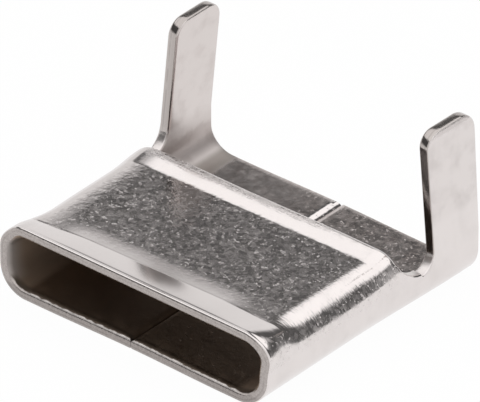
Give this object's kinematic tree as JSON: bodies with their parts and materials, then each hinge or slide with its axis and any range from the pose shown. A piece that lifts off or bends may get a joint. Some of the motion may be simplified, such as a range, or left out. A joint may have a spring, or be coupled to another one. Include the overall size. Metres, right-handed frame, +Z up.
{
  "type": "strapping buckle",
  "caption": "Folded stainless sheet buckle for steel strapping: a flat sleeve with a butt seam in its floor and upright ears at the rear that are hammered down over the strap.",
  "frame": {"origin": "on the underside of the floor, in the middle of the part's outline", "axes": "+X across the strap to the right, +Y along the strap from the mouth to the ears, +Z up along the ears"},
  "size_m": [0.022, 0.0204, 0.0122],
  "materials": {
    "stainless": "bright tumbled stainless sheet with fine specks, and duller sheared edges"
  },
  "bodies": {
    "root": {"buckle": "stainless"}
  },
  "joints": []
}
